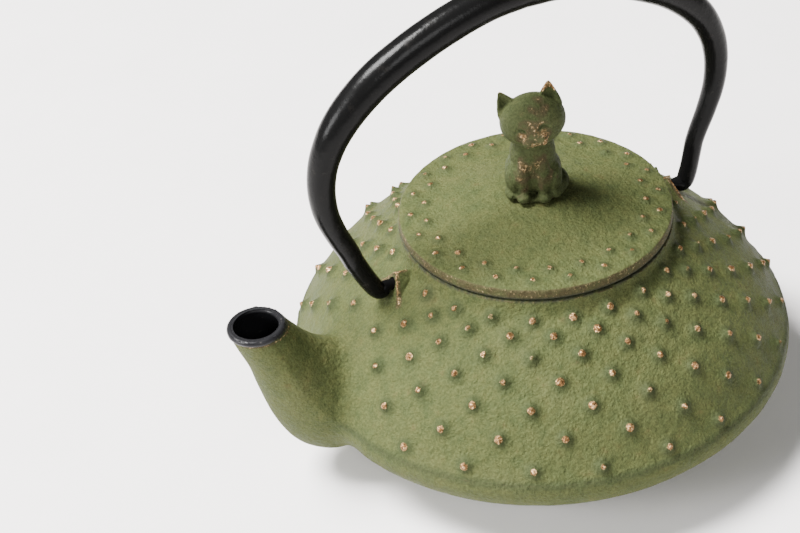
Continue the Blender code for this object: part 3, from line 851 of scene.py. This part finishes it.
# %% [markdown]
# ## The knob
#
# The knob is a little seated cat. A founder would model it in wax from a few balls and draw them
# together with a warm tool, and we do the same: overlapping ellipsoids, a tail and two ears go through
# the remesh as one skin, which is then relaxed. Eyes, nose, mouth and toes are pressed in afterwards.

# %% The cat's forms
KNOB_TURN = math.radians(-27.4)
KNOB_BASE = 69.3 * MM
CAT_BALLS = [                      # centre x, y, z; radii x, y, z; the cat looks along -Y
    (0.0, 1.2, 6.6, 7.7, 6.8, 6.6), (0.0, -0.4, 12.6, 6.2, 5.4, 8.8), (0.0, -0.9, 18.6, 4.9, 4.3, 3.6),
    (-2.7, -4.6, 7.0, 1.9, 1.9, 6.6), (2.7, -4.6, 7.0, 1.9, 1.9, 6.6), (-2.8, -5.7, 1.6, 2.0, 2.4, 1.5),
    (2.8, -5.7, 1.6, 2.0, 2.4, 1.5), (-6.0, -2.6, 1.7, 1.9, 3.4, 1.6), (6.0, -2.6, 1.7, 1.9, 3.4, 1.6),
    (-4.7, -1.6, 6.0, 3.1, 4.4, 5.0), (4.7, -1.6, 6.0, 3.1, 4.4, 5.0)]
HEAD_BALLS = [
    (0.3, -1.7, 23.9, 8.9, 7.4, 7.2), (0.3, -8.0, 22.0, 3.3, 2.0, 2.1),
    (-1.4, -9.3, 21.7, 1.8, 1.2, 1.5), (2.0, -9.3, 21.7, 1.8, 1.2, 1.5)]
HEAD_MIDDLE = Vector((0.3, -1.7, 23.9))
HEAD_TILT = math.radians(-12)
EAR_STATIONS = [                   # height, half width, half depth
    (0, 3.7, 2.8), (2.3, 2.9, 2.2), (4.6, 1.7, 1.35), (6.2, 0.8, 0.7), (6.9, 0.3, 0.3)]
CAT_TAIL = [(0.0, 7.0, 3.0), (4.6, 6.8, 2.4), (7.7, 3.6, 2.1), (7.9, -0.6, 2.0), (5.6, -4.6, 1.9)]


def ball(centre, radii):
    """An ellipsoid, in millimetres."""
    bm = bmesh.new()
    place = Matrix.Translation(Vector(centre) * MM) @ Matrix.Diagonal((*(Vector(radii) * MM), 1.0))
    bmesh.ops.create_uvsphere(bm, u_segments=32, v_segments=20, radius=1.0, matrix=place)
    return from_bmesh("ball", bm)


def ear(side):
    """A pointed ear with a hollow front."""
    lean = Matrix.Rotation(side * math.radians(12), 3, "Y")
    foot = Vector((0.3 + side * 5.2, -1.0, 27.2))
    rows = []
    for height, width, depth in EAR_STATIONS:
        row = []
        for a in np.arange(24) * (math.tau / 24):
            front = max(0.0, -math.sin(a)) ** 3
            spot = Vector((width * math.cos(a), depth * math.sin(a) * (1.0 - 1.25 * front), height))
            row.append((foot + lean @ spot) * MM)
        rows.append(row)
    return skin("ear", rows)


plinth_profile = rounded([(0.0, 1.2), (6.4, 1.2), (6.4, 0.0), (0.0, 0.0)], {1: 0.4})
head_tilt = Matrix.Rotation(HEAD_TILT, 3, "Y")
head_parts = [ball(row[:3], row[3:]) for row in HEAD_BALLS] + [ear(1), ear(-1)]
for part in head_parts:
    middle = Matrix.Translation(HEAD_MIDDLE * MM)
    part.data.transform(middle @ head_tilt.to_4x4() @ middle.inverted())
cat_parts = [ball(row[:3], row[3:]) for row in CAT_BALLS] + head_parts
cat_parts.append(turned("plinth", plinth_profile, 64))
tail = smooth_run(CAT_TAIL, 6)
cat_parts.append(tube("tail", tail * MM, np.linspace(1.7, 1.45, len(tail)) * MM, 20))
cat_parts.append(ball(tail[-1], (1.45, 1.45, 1.45)))
cat = remeshed(joined("knob_cat", cat_parts), 0.34 * MM)
table = points_of(cat)
keep_flat = soft_step(table[:, 2], 0.2 * MM, 1.6 * MM) * soft_step(table[:, 2], 33.5 * MM, 30.0 * MM)
move_points(cat, relaxed(cat, table, keep_flat, 5))
print("cat", len(cat.data.polygons), "faces")

# %% The cat's face and paws
def groove(piece, lines, width, depth):
    """Press a round-bottomed line into a surface, along its normals. A negative depth raises a welt."""
    table = points_of(piece)
    gap = np.full(len(table), 1.0)
    for line in lines:
        gap = np.minimum(gap, gap_to_line(table, np.array(line) * MM))
    press = np.clip(1.0 - (gap / (width * MM)) ** 2, 0.0, 1.0) ** 2
    move_points(piece, table - normals_of(piece) * (press * depth * MM)[:, None])
    return press


def arc(centre, half_width, rise, front, steps=7):
    """A shallow arch across the face, seen from the front."""
    return [(centre[0] + half_width * t, front + 0.10 * (half_width * t) ** 2, centre[1] + rise * (1 - t * t))
            for t in np.linspace(-1.0, 1.0, steps)]


def tilted(lines):
    """Lines on the upright head, moved as the head is tilted."""
    return [[tuple(head_tilt @ (Vector(point) - HEAD_MIDDLE) + HEAD_MIDDLE) for point in line]
            for line in lines]


eyes = [arc((-3.0, 24.6), 1.5, 0.9, -8.6), arc((3.6, 24.6), 1.5, 0.9, -8.6)]
mouth_lines = [[(0.3, -10.4, 22.3), (0.3, -10.4, 21.0)], [(0.3, -10.3, 21.0), (-1.5, -9.9, 20.2)],
               [(0.3, -10.3, 21.0), (2.1, -9.9, 20.2)]]
# The pressed lines are marked for painted shade, as the shadow inside them.
groove_shade = groove(cat, tilted(eyes), 0.8, 0.75)
groove_shade = np.maximum(groove_shade, groove(cat, tilted(mouth_lines), 0.6, 0.55))
groove(cat, tilted([[(-0.4, -10.2, 23.0), (1.0, -10.2, 23.0)]]), 0.8, -0.4)
paw_lines = [[(x, -8.2, 2.6), (x, -8.2, 0.9)] for x in (-3.4, -2.2, 2.2, 3.4)]
paw_lines += [[(side * x, -6.0, 2.6), (side * x, -6.2, 0.9)] for side in (-1, 1) for x in (5.6, 6.5)]
paw_lines += [[(0.0, -7.0, 1.4), (0.0, -6.2, 6.0), (0.0, -6.0, 11.0)]]
haunch_lines = [[(side * 4.2, -5.8, 3.2), (side * 5.6, -5.2, 8.4), (side * 7.0, -2.0, 10.8),
                 (side * 7.2, 2.0, 10.6)] for side in (-1, 1)]
groove_shade = np.maximum(groove_shade, groove(cat, paw_lines, 0.55, 0.35))
groove_shade = np.maximum(groove_shade, 0.6 * groove(cat, haunch_lines, 0.8, 0.3))

table = points_of(cat)
normals = normals_of(cat)
mean = relaxed(cat, table, np.ones(len(table)), 10)
proud = ((table - mean) * normals).sum(axis=1) / MM
# Painted shade: the cat's hollow places are marked to be painted darker.
hollow_shade = soft_step(-proud, 0.03, 0.16)
ear_tips = soft_step(table[:, 2], 31.0 * MM, 33.6 * MM)
face = soft_step(-table[:, 1], 6.0 * MM, 9.0 * MM) * soft_step(table[:, 2], 17.5 * MM, 20.0 * MM)
front = soft_step(-table[:, 1], 4.0 * MM, 6.4 * MM) * soft_step(table[:, 2], 14.5 * MM, 10.0 * MM)
face = np.maximum(face, 0.7 * front)
uneven = waviness(table, 420.0, 9)
forehead = soft_step(np.hypot(table[:, 0] - 2.0 * MM, table[:, 1] + 5.0 * MM), 5.0 * MM, 2.0 * MM)
chest = soft_step(-table[:, 1], 3.6 * MM, 5.0 * MM) * soft_step(np.abs(table[:, 2] - 11 * MM), 6 * MM, 3 * MM)
handled = np.maximum(face, np.maximum(0.9 * ear_tips, 0.85 * chest))
handled = np.maximum(handled, 0.8 * forehead * soft_step(table[:, 2], 25 * MM, 27 * MM))
handled *= np.clip(0.82 + 0.5 * uneven, 0.0, 1.0) * (1.0 - 0.8 * groove_shade)
bare = 0.7 * soft_step(proud, 0.07, 0.28) + 0.5 * ear_tips + 0.30 * handled
move_points(cat, table + normals * (0.05 * uneven * MM)[:, None])
# The mark for painted shade in the cat's grooves and hollows also carries the cat's own darker tone, at 0.75
# all over.
mark(cat, bare=bare, halo=np.maximum(np.maximum(groove_shade, hollow_shade), 0.75), seam=1.08 * handled)
bore = tube("bore", [(0.0, 0.0, -1 * MM), (0.0, 0.0, 7.5 * MM)], [2.0 * MM] * 2, 32)
cat.data.materials.append(patina)
cat = cut(cat, bore)
cat.data.transform(Matrix.Translation((0.0, 0.0, KNOB_BASE)) @ Matrix.Rotation(KNOB_TURN, 4, "Z"))
shade(cat, 60)
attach(cat, "lid")
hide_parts("knob_figure")
print("cat with its face", len(cat.data.polygons), "faces")

# %% [markdown]
# ## Screw and washer
#
# A pan-head screw and a plain washer hold the knob from below. They show only when the lid is lifted,
# but they carry the same care: rounded edges, a cut slot, and a turned finish.

# %% Screw and washer
steel = new_surface("drawn_steel")
UNDER_HEAD = 64.6
screw_profile = rounded([(0.0, 75.8), (1.3, 75.8), (SCREW_RADIUS, 75.4), (SCREW_RADIUS, UNDER_HEAD),
                         (3.4, UNDER_HEAD), (3.4, 62.9), (2.3, 62.4), (0.0, 62.4)], {4: 0.15, 5: 0.5, 6: 0.5})
screw = turned("knob_fixing_screw", screw_profile, 64)
slot_rows = [[Vector((x * MM, y * MM, z * MM)) for x, y in ((-7, -0.4), (7, -0.4), (7, 0.4), (-7, 0.4))]
             for z in (61.0, 63.5)]
screw = cut(screw, skin("slot_tool", slot_rows))
washer_profile = rounded([(2.0, 65.7), (4.6, 65.7), (4.6, 64.9), (2.0, 64.9)],
                         {0: 0.1, 1: 0.2, 2: 0.2, 3: 0.1})
washer = turned("knob_fixing_washer", washer_profile, 72)
for piece, node in ((screw, "knob_screw"), (washer, "knob_washer")):
    piece.data.materials.clear()
    piece.data.materials.append(steel)
    shade(piece, 35)
    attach(piece, "lid")
    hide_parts(node)

# %% [markdown]
# ## The bail
#
# The bail is a forged bar: thick at the crown where the hand takes it, thin at the hooks, and bent by
# eye, so it leans a little to the spout side. We run a tube along a smooth line with a radius of its own
# at each point, and let a slow noise stand for the flats that the hammer left.

# %% The bail
BAIL_HALF = [                      # x, z, radius
    (41.5, 54.7, 1.5), (44.5, 54.7, 1.5), (46.1, 54.4, 1.95), (47.4, 53.85, 2.3), (48.6, 54.6, 2.5),
    (49.8, 57.2, 2.6), (51.3, 61.6, 2.65), (53.6, 69.3, 2.75), (56.4, 76.4, 2.9), (58.5, 83.5, 3.15),
    (59.1, 90.4, 3.4), (58.3, 97.0, 3.65), (56.3, 102.6, 3.9), (52.9, 108.2, 4.2), (47.3, 114.0, 4.45),
    (39.9, 119.4, 4.6), (30.4, 124.1, 4.65), (20.2, 127.9, 4.7), (9.8, 130.4, 4.75), (0.0, 131.2, 4.75)]
BAIL_LEAN = 1.5 * MM
BAIL_LEAN_HEIGHT = 12 * MM
BAIL_UNEVEN = 0.05
BAIL_HALF_SPAN = 45 * MM

half = smooth_run([(x, 0.0, z, r) for x, z, r in BAIL_HALF], 9)
run = np.vstack([half, half[-2::-1] * (-1, 1, 1, 1)]) * MM
rise = np.clip((run[:, 2] - HINGE_HEIGHT) / BAIL_LEAN_HEIGHT, 0.0, 1.0)
run[:, 3] *= 1.0 - BAIL_UNEVEN * rise * np.clip(run[:, 0] / BAIL_HALF_SPAN, -1.0, 1.0)
run[:, 0] -= BAIL_LEAN * rise
bail = tube("bail_bar", run[:, :3], run[:, 3], 48)
table = points_of(bail)
free_part = soft_step(table[:, 2], 56 * MM, 62 * MM)
hammered = 0.07 * waviness(table, 95.0, 3) + 0.025 * waviness(table, 260.0, 4)
move_points(bail, table + normals_of(bail) * (free_part * hammered * MM)[:, None])
black_iron = new_surface("black_lacquer")
bail.data.materials.append(black_iron)
shade(bail, 50)
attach(bail, "bail")
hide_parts("bail_handle")
print("bail", len(bail.data.polygons), "faces; crown at", round(float(table[:, 2].max()) / MM, 1), "mm")

# %% [markdown]
# ## The strainer
#
# Inside hangs a basket of woven wire: a rolled flange with a skirt, a wall, a ring round its foot and a
# floor. Wire gauze could be faked with a see-through texture, but it would look flat at the rim and
# would not survive as a mesh. So every wire is really there, a thin bar that goes over one neighbour
# and under the next. Three sides to each wire are enough at this size.

# %% Strainer gauze
WIRE = 0.13 * MM
SWAY = 0.075 * MM
GAUZE_MIDDLE = 30.1 * MM
GAUZE_LOW = 9.8 * MM
GAUZE_HIGH = 55.5 * MM
UPRIGHTS = 126
PITCH = math.tau * GAUZE_MIDDLE / UPRIGHTS


def wire_net(name, lines, closed):
    """Thin three-sided bars along lines of points, in one mesh. A closed line is a hoop."""
    verts, faces = [], []
    for line in lines:
        count = len(line)
        first = len(verts)
        for i in range(count):
            before = i - 1 if closed else max(i - 1, 0)
            after = (i + 1) % count if closed else min(i + 1, count - 1)
            ahead = (line[after] - line[before]).normalized()
            across = ahead.cross(line[i] * 0.3 + Vector((0.0, 0.0, 0.011))).normalized()
            up = ahead.cross(across)
            verts += [line[i] + (across * math.cos(a) + up * math.sin(a)) * WIRE for a in (0.5, 2.594, 4.689)]
        for i in range(count if closed else count - 1):
            here, there = first + 3 * i, first + 3 * ((i + 1) % count)
            faces += [(here + k, here + (k + 1) % 3, there + (k + 1) % 3, there + k) for k in range(3)]
        if not closed:
            last = first + 3 * (count - 1)
            faces += [(first, first + 1, first + 2), (last + 2, last + 1, last)]
    mesh = bpy.data.meshes.new(name)
    mesh.from_pydata(verts, [], faces)
    bm = bmesh.new()
    bm.from_mesh(mesh)
    return from_bmesh(name, bm)


hoops = int((GAUZE_HIGH - GAUZE_LOW) / PITCH)
uprights = []
for k in range(UPRIGHTS):
    angle = math.tau * k / UPRIGHTS
    line = []
    for i in range(2 * hoops + 1):
        radius = GAUZE_MIDDLE + SWAY * math.sin(math.pi * (i / 2 + k))
        height = GAUZE_LOW + (GAUZE_HIGH - GAUZE_LOW) * i / (2 * hoops)
        line.append(Vector((radius * math.cos(angle), radius * math.sin(angle), height)))
    uprights.append(line)
rounds = []
for k in range(hoops):
    height = GAUZE_LOW + (GAUZE_HIGH - GAUZE_LOW) * (k + 0.5) / hoops
    line = []
    for i in range(2 * UPRIGHTS):
        angle = math.pi * i / UPRIGHTS
        radius = GAUZE_MIDDLE - SWAY * math.sin(math.pi * (k + 0.5 + i / 2))
        line.append(Vector((radius * math.cos(angle), radius * math.sin(angle), height)))
    rounds.append(line)
wall = joined("strainer_gauze_wall", [wire_net("uprights", uprights, False), wire_net("hoops", rounds, True)])

FLOOR_RADIUS = 29.6 * MM
FLOOR_MIDDLE = 10.0 * MM
weave = []
for along_x in (True, False):
    for k in range(-19, 20):
        off = k * PITCH
        reach = math.sqrt(max(FLOOR_RADIUS ** 2 - off ** 2, 0.0))
        marks = [m * PITCH / 2 for m in range(-40, 41) if abs(m * PITCH / 2) < reach]
        line = []
        for m in [-reach] + marks + [reach]:
            lift = SWAY * math.cos(math.pi * (m / PITCH + k)) * (1 if along_x else -1)
            line.append(Vector((m, off, FLOOR_MIDDLE + lift) if along_x else (off, m, FLOOR_MIDDLE + lift)))
        weave.append(line)
floor_net = wire_net("strainer_gauze_floor", weave, False)
wires = len(uprights) + len(rounds) + len(weave)
print(wires, "wires in", len(wall.data.polygons) + len(floor_net.data.polygons), "faces")

# %% Strainer rim and base ring
rim_profile = rounded([(30.6, 56.4), (33.4, 56.4), (33.4, 55.8), (31.2, 55.8), (31.2, 50.5), (30.6, 50.5)],
                      {0: 0.35, 1: 0.2, 2: 0.2, 3: 0.25, 4: 0.2, 5: 0.2})
strainer_rim = turned("strainer_flange", split_long(rim_profile, 1.0), 180)
ring_profile = rounded([(30.6, 13.5), (31.2, 13.5), (31.2, 8.9), (27.7, 8.9), (27.7, 9.5), (30.6, 9.5)],
                       {0: 0.2, 1: 0.2, 2: 0.5, 3: 0.2, 4: 0.2, 5: 0.2})
base_ring = turned("strainer_foot_ring", split_long(ring_profile, 1.0), 180)
for piece, node in ((strainer_rim, "strainer_rim"), (base_ring, "strainer_base_ring"),
                    (wall, "strainer_wall_mesh"), (floor_net, "strainer_base_mesh")):
    piece.data.materials.append(steel)
    shade(piece, 35)
    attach(piece, "strainer")
    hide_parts(node)
print("strainer in four pieces")

# %% [markdown]
# ## The patina
#
# The green is a paint brushed thinly on iron and rubbed back. It drifts between olive and sage over a
# centimetre or so, and is gone on the hobnails' tips, on the lugs' edges and on the rims, where a coppery
# brown and bright specks come through. Shade is painted in too: a darker green round the feet of the
# hobnails, along the parting line and in the cat's grooves and hollows, and near black in the gap under
# the lid. The cat's own darker tone comes in with the same mark. The marks stored on the mesh say where;
# noises make their edges ragged. Two bumps, one coarse and one fine, stand for the cast sand.

# %% The green patina
drift = grain(patina, 55.0, 3.0)
mottle = grain(patina, 260.0, 5.0, 0.65)
speck = grain(patina, 1500.0, 3.0, 0.7)
green = ramp(patina, drift, [(0.30, (0.050, 0.062, 0.021, 1)), (0.52, (0.060, 0.070, 0.024, 1)),
                             (0.72, (0.071, 0.077, 0.029, 1))])
cloudy = ramp(patina, mottle, [(0.30, (0.034, 0.048, 0.020, 1)), (0.62, (0.078, 0.084, 0.031, 1))])
green = blended(patina, 0.45, green, cloudy)
rusty = maths(patina, "MULTIPLY", eased(patina, mottle, 0.60, 0.74), 0.30)
green = blended(patina, rusty, green, (0.075, 0.045, 0.022, 1.0))
# Painted shade: where the mesh is marked, the green is mixed towards a dark blue-green; on the cat the same
# mark also gives its darker tone.
halo_mark = maths(patina, "MULTIPLY", marked(patina, "halo"), eased(patina, mottle, 0.25, 0.6, 0.5, 1.0))
green = blended(patina, maths(patina, "MULTIPLY", halo_mark, 0.55), green, (0.019, 0.028, 0.015, 1.0))
sand_tone = eased(patina, speck, 0.3, 0.72, 0.78, 1.26)
green = add_node(patina, "ShaderNodeVectorMath", {0: green, "Scale": sand_tone}, operation="SCALE").outputs[0]

ragged = maths(patina, "ADD", maths(patina, "MULTIPLY", mottle, 0.9), maths(patina, "MULTIPLY", speck, 0.5))
tip = maths(patina, "ADD", marked(patina, "bare"), maths(patina, "SUBTRACT", ragged, 0.72))
tip = eased(patina, tip, 0.56, 0.80)
rough_edge = maths(patina, "ADD", marked(patina, "seam"), maths(patina, "SUBTRACT", speck, 0.5))
rough_edge = maths(patina, "MULTIPLY", eased(patina, rough_edge, 0.80, 1.15), 0.7)
metal_share = maths(patina, "MAXIMUM", tip, rough_edge)
copper = ramp(patina, speck, [(0.38, (0.070, 0.034, 0.014, 1)), (0.52, (0.235, 0.122, 0.048, 1)),
                              (0.68, (0.74, 0.52, 0.28, 1))])
brown = eased(patina, marked(patina, "seam"), 0.50, 0.75)
brown = maths(patina, "MULTIPLY", brown, eased(patina, mottle, 0.3, 0.6, 0.3, 0.85))
green = blended(patina, brown, green, (0.052, 0.041, 0.022, 1.0))
colour = blended(patina, metal_share, green, copper)
# Painted shade: the gap between lid and collar is painted near black.
shaded_collar = maths(patina, "MULTIPLY", marked(patina, "collar"), 0.85)
colour = blended(patina, shaded_collar, colour, (0.03, 0.033, 0.022, 1.0))
colour = blended(patina, marked(patina, "enamel"), colour, (0.012, 0.012, 0.013, 1.0))

gloss = between(patina, metal_share, eased(patina, mottle, 0.3, 0.7, 0.54, 0.68), 0.36)
gloss = between(patina, marked(patina, "enamel"), gloss, 0.3)
metal = between(patina, metal_share, 0.05, 0.8)
metal = between(patina, marked(patina, "enamel"), metal, 0.0)
sand = bumped(patina, speck, 0.00040, 0.9)
sand = bumped(patina, grain(patina, 620.0, 4.0, 0.6), 0.00085, 0.85, sand)
finish_of(patina, {"Base Color": colour, "Roughness": gloss, "Metallic": metal, "Normal": sand},
          {"IOR": 1.5, "Specular IOR Level": 0.05})
print("patina has", len(patina.node_tree.nodes), "nodes")

# %% [markdown]
# ## Enamel, lacquer and steel
#
# Enamel is glass: black, smooth, with a few pinholes. The lacquer on the bail is thicker and softer, with
# a faint orange peel and dull handling marks. The steel is turned or drawn, so its fine lines run one way.

# %% Enamel, lacquer and steel
pits = eased(enamel, grain(enamel, 900.0, 2.0), 0.66, 0.74)
enamel_tone = blended(enamel, maths(enamel, "MULTIPLY", pits, 0.5), (0.010, 0.010, 0.011, 1.0),
                      (0.10, 0.09, 0.08, 1.0))
enamel_gloss = eased(enamel, grain(enamel, 180.0, 4.0), 0.3, 0.75, 0.24, 0.40)
enamel_bump = bumped(enamel, grain(enamel, 420.0, 3.0), 0.0002, 0.35)
finish_of(enamel, {"Base Color": enamel_tone, "Roughness": enamel_gloss, "Normal": enamel_bump},
          {"Specular IOR Level": 0.16, "IOR": 1.5})

scuff = eased(black_iron, grain(black_iron, 240.0, 6.0, 0.7), 0.55, 0.75)
black_tone = blended(black_iron, maths(black_iron, "MULTIPLY", scuff, 0.4), (0.004, 0.004, 0.004, 1.0),
                     (0.014, 0.012, 0.010, 1.0))
black_gloss = maths(black_iron, "ADD", eased(black_iron, grain(black_iron, 90.0), 0.3, 0.7, 0.20, 0.27),
                    maths(black_iron, "MULTIPLY", scuff, 0.10))
peel = bumped(black_iron, grain(black_iron, 700.0, 3.0), 0.00012, 0.5)
peel = bumped(black_iron, grain(black_iron, 170.0, 2.0), 0.0003, 0.4, peel)
finish_of(black_iron, {"Base Color": black_tone, "Roughness": black_gloss, "Normal": peel},
          {"Specular IOR Level": 0.08})

lines = grain(steel, 700.0, 3.0, 0.6, (1.0, 1.0, 9.0))
steel_tone = ramp(steel, grain(steel, 120.0), [(0.3, (0.50, 0.50, 0.49, 1)), (0.7, (0.64, 0.63, 0.61, 1))])
steel_gloss = eased(steel, lines, 0.3, 0.7, 0.20, 0.36)
steel_bump = bumped(steel, lines, 0.00003, 0.5)
finish_of(steel, {"Base Color": steel_tone, "Roughness": steel_gloss, "Normal": steel_bump},
          {"Metallic": 1.0})
print("materials:", ", ".join(made.name for made in bpy.data.materials))

# %% [markdown]
# ## The sizes
#
# The skin must be as large as the CAD model and no larger, so both boxes are printed side by side.

# %% Write the sizes and finish
skin_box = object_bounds()
for word, box in (("CAD", cad_box), ("skin", skin_box)):
    print(word, [[round(value / MM, 1) for value in corner] for corner in box])
